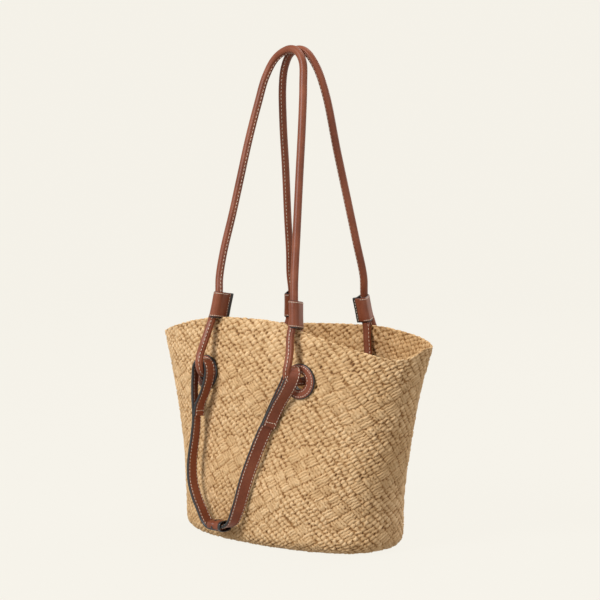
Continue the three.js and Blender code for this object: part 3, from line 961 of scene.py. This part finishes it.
# [share of the strap's length, twist in degrees]
STRAP_TWIST = {
    "left": [[0, -4], [0.22, -6], [0.30, -22], [0.40, -26], [0.55, -12], [0.85, -6], [1, 0]],
    "right": [[0, 26], [0.18, 34], [0.4, 34], [0.5, 25], [0.85, 20], [1, 4]],
}
# [height, shift along x], and [height, x of the line that the fold turns about]
STRAP_SHIFT = {
    "left": [[110, 0], [150, -1.5], [195, -1.5]],
    "right": [[108, 0], [133, -2.4], [147, -6.2], [158, -7.2], [172, -5], [188, 0]],
}
STRAP_SPINE = {
    "left": [[131, -66], [160, -64], [190, -62]],
    "right": [[124, 31], [133, 36.6], [158, 49], [172, 57], [190, 66]],
}
STRAP_FOLD_TURN = {"left": 0.0, "right": 1.0}
STRAP_TUCK = {"left": 0.0, "right": 2.4}
STRAP_STEP = 2.0
STRAP_STITCH_WIDE = 5.9
FOLD_FOOT = 112
FOLD_RISE = 22
SEAM_RING = 3


def strap_section():
    """Rounded flat section as (wide, thick) with True where the painted edge is."""
    half, thick, points = STRAP_WIDE / 2, STRAP_THICK / 2, []
    for way in (1, -1):
        for w in (-6.6, -3.5, 0, 3.5, 6.6):
            points.append((way * w, way * thick * (1.0 if abs(w) < 6 else 0.93), False))
        for a in np.linspace(way * np.pi / 2, way * np.pi / 2 - np.pi, 7):
            points.append((way * (half - 0.8) + 0.8 * math.cos(a), thick * 0.9 * math.sin(a), True))
    return points


def strap_frame(hand, side):
    """The strap's middle line, the direction of its width, and the direction of its face."""
    flat = smooth_path([[x, 0, z] for x, z in STRAP_PATH[hand]], STRAP_STEP)
    share = np.linspace(0, 1, len(flat))
    twist = np.radians(np.interp(share, *np.array(STRAP_TWIST[hand], float).T))
    height = flat[:, 2]
    flat[:, 0] += np.interp(height, *np.array(STRAP_SHIFT[hand], float).T)
    spine = np.interp(height, *np.array(STRAP_SPINE[hand], float).T)
    in_fold = np.clip((height - FOLD_FOOT) / FOLD_RISE, 0, 1)
    off = (flat[:, 0] - spine) * in_fold * STRAP_FOLD_TURN[hand]
    depth = along(STRAP_DEPTH, height) - STRAP_TUCK[hand] * in_fold
    centre = np.stack([flat[:, 0] - off * (1 - np.cos(twist)), side * (depth + off * np.sin(twist)),
                       height], -1)
    forward = tangents(centre)
    wide_way = np.stack([-np.sin(twist), side * np.cos(twist), 0 * twist], -1)
    wide_way = unit(wide_way - forward * np.sum(wide_way * forward, 1, keepdims=True))
    return centre, wide_way, side * np.cross(forward, wide_way)


def straps():
    """The two straps of each short handle, stitched along both edges and across the fold's end."""
    section = strap_section()
    edge = np.array([flag for _, _, flag in section])
    for level, side in SIDES.items():
        for hand in HANDS:
            centre, wide_way, face = strap_frame(hand, side)
            rings = np.stack([centre + wide_way * w + face * t for w, t, _ in section], 1)
            rows, count = rings.shape[:2]
            parts = [(rings.reshape(-1, 3), grid_faces(rows, count), edge_or(STRAP_SLOT, edge, rows - 1))]
            for wide in (-STRAP_STITCH_WIDE, STRAP_STITCH_WIDE):
                for way in (-1, 1):
                    line = centre + wide_way * wide + face * way * STRAP_THICK / 2
                    parts.append((*stitch_run(line, face * way, *STRAP_STITCH), THREAD_SLOT))
            out = -face[SEAM_RING]
            seam = np.array([centre[SEAM_RING] + wide_way[SEAM_RING] * w + out * STRAP_THICK / 2
                             for w in np.linspace(-6, 6, 9)])
            parts.append((*stitch_run(seam, np.tile(out, (len(seam), 1)), *FOLD_STITCH), THREAD_SLOT))
            add_leather(f"{level}_strap_{hand}_skin", parts, body=f"{level}_strap",
                        node=(f"{level}_strap_{hand}",))


# (x, half width, half height) along the sleeve, out over its mouths and back through the inside
SLEEVE_SHAPE = [
    (-35.6, 8.0, 4.6), (-36.0, 8.5, 5.2), (-35.2, 8.8, 5.5), (-31, 8.8, 5.5), (-28.9, 8.7, 5.5),
    (-28.5, 9.3, 6.2), (-27.6, 9.3, 6.2), (-27.0, 8.8, 5.7), (-24, 8.9, 5.9), (-19, 9.1, 6.2),
    (-16.8, 9.4, 6.5), (-15.8, 9.4, 6.4), (-15.4, 8.8, 5.7), (-17, 8.1, 5.0), (-26, 8.0, 4.7),
]
SLEEVE_COLUMNS = 40
SLEEVE_Z = 21.0
SLEEVE_DEPTH_Z = 19.5
SLEEVE_SQUARE = 0.72


def sleeves():
    """Short leather barrel with flared black mouths where the two straps meet."""
    turn = 2 * np.pi * np.arange(SLEEVE_COLUMNS) / SLEEVE_COLUMNS
    c, s = np.cos(turn), np.sin(turn)
    round_y, round_z = np.sign(c) * np.abs(c) ** SLEEVE_SQUARE, np.sign(s) * np.abs(s) ** SLEEVE_SQUARE
    row = np.repeat(np.arange(len(SLEEVE_SHAPE)), SLEEVE_COLUMNS)
    column = np.tile(np.arange(SLEEVE_COLUMNS), len(SLEEVE_SHAPE))
    mouths = (row <= 1) | ((row >= 9) & (row <= 13))
    step = (row >= 4) & (row <= 6) & ((s[column] < -0.15) | (s[column] > 0.85))
    slots = np.where(mouths | step, EDGE_SLOT, CORD_SLOT)
    for level, side in SIDES.items():
        depth = float(along(STRAP_DEPTH, SLEEVE_DEPTH_Z))
        rings = np.array([
            np.stack([x + 0 * c, side * (depth + wide * round_y), SLEEVE_Z + (tall - 0.5) * round_z], -1)
            for x, wide, tall in SLEEVE_SHAPE
        ])
        faces = grid_faces(len(rings), SLEEVE_COLUMNS, wrap_rows=True)
        if side > 0:
            faces = faces[:, ::-1]
        add_leather(f"{level}_strap_sleeve_skin", [(rings.reshape(-1, 3), faces, slots)],
                    body=f"{level}_strap", node=(f"{level}_strap_sleeve",))


# ---------------------------------------------------------------- studio, in metres
WORLD_COLOUR = (1.0, 0.98, 0.95, 1)
WORLD_STRENGTH = 0.40
BACKDROP_COLOUR = (0.90, 0.872, 0.80, 1)
FLOOR_RADII = (0.001, 0.5, 1.2, 2.5, 4.0)
SWEEP_RADIUS = 3.0
SWEEP_STEPS = 26
BACKDROP_TOP = 6.0
FLOOR_COLUMNS = 96
# Name, place, size, power and colour; each lamp points at LAMP_AIM
LAMP_AIM = Vector((0, 0, 0.2))
LAMPS = [
    ("key", (-0.35, -2.65, 1.9), 1.0, 80, (0.985, 1.025, 1.067)),
    ("fill", (2.6, -0.6, 1.2), 1.8, 12, (1.0, 0.98, 0.96)),
    ("back", (0.1, 2.7, 1.5), 1.4, 22, (1.0, 0.98, 0.96)),
    ("top", (0.2, 0.6, 2.4), 1.2, 17, (1.0, 0.99, 0.97)),
]


def backdrop():
    """Round pale floor that sweeps up into a wall; it shows its own even colour and lights nothing."""
    reach = FLOOR_RADII[-1]
    profile = [(r, 0.0) for r in FLOOR_RADII]
    for a in np.linspace(0, np.pi / 2, SWEEP_STEPS)[1:]:
        profile.append((reach + SWEEP_RADIUS * math.sin(a), SWEEP_RADIUS - SWEEP_RADIUS * math.cos(a)))
    profile.append((reach + SWEEP_RADIUS, BACKDROP_TOP))
    turn = 2 * np.pi * np.arange(FLOOR_COLUMNS) / FLOOR_COLUMNS
    rings = np.array([np.stack([r * np.cos(turn), r * np.sin(turn), z + 0 * turn], -1) for r, z in profile])
    m = Nodes("studio_floor")
    m.set(Base_Color=(0.02, 0.02, 0.02, 1), Roughness=1.0, Emission_Color=BACKDROP_COLOUR,
          Emission_Strength=1.0, Specular_IOR_Level=0.0)
    floor = make_piece("studio_floor", rings.reshape(-1, 3) / MM,
                       grid_faces(len(profile), FLOOR_COLUMNS), [m.material])
    floor.visible_diffuse = False


def lamps(scene):
    """Even light from the world, and four soft lamps."""
    world = bpy.data.worlds.new("studio_world")
    world.use_nodes = True
    world.node_tree.nodes["Background"].inputs["Color"].default_value = WORLD_COLOUR
    world.node_tree.nodes["Background"].inputs["Strength"].default_value = WORLD_STRENGTH
    scene.world = world
    for name, place, size, power, colour in LAMPS:
        data = bpy.data.lights.new(name, "AREA")
        data.size = size
        data.energy = power
        data.color = colour
        lamp = bpy.data.objects.new(name, data)
        lamp.location = place
        lamp.rotation_euler = (LAMP_AIM - Vector(place)).to_track_quat("-Z", "Y").to_euler()
        scene.collection.objects.link(lamp)


def camera(scene):
    """Long lens a little above the bag's middle, on its front right."""
    data = bpy.data.cameras.new("camera")
    data.lens = CAMERA_LENS
    data.sensor_width = 36
    eye = bpy.data.objects.new("camera", data)
    away = Vector((
        math.sin(CAMERA_AZIMUTH) * math.cos(CAMERA_ELEVATION),
        -math.cos(CAMERA_AZIMUTH) * math.cos(CAMERA_ELEVATION),
        math.sin(CAMERA_ELEVATION),
    ))
    eye.location = CAMERA_TARGET + away * CAMERA_DISTANCE
    eye.rotation_euler = (-away).to_track_quat("-Z", "Y").to_euler()
    scene.collection.objects.link(eye)
    scene.camera = eye


def studio():
    """Plain pale surroundings, light and camera."""
    scene = bpy.context.scene
    scene.view_settings.view_transform = "Standard"
    backdrop()
    lamps(scene)
    camera(scene)


basket_wall()
basket_base()
eyelets()
handle_loops()
shoulder_handles()
keepers()
straps()
sleeves()
studio()
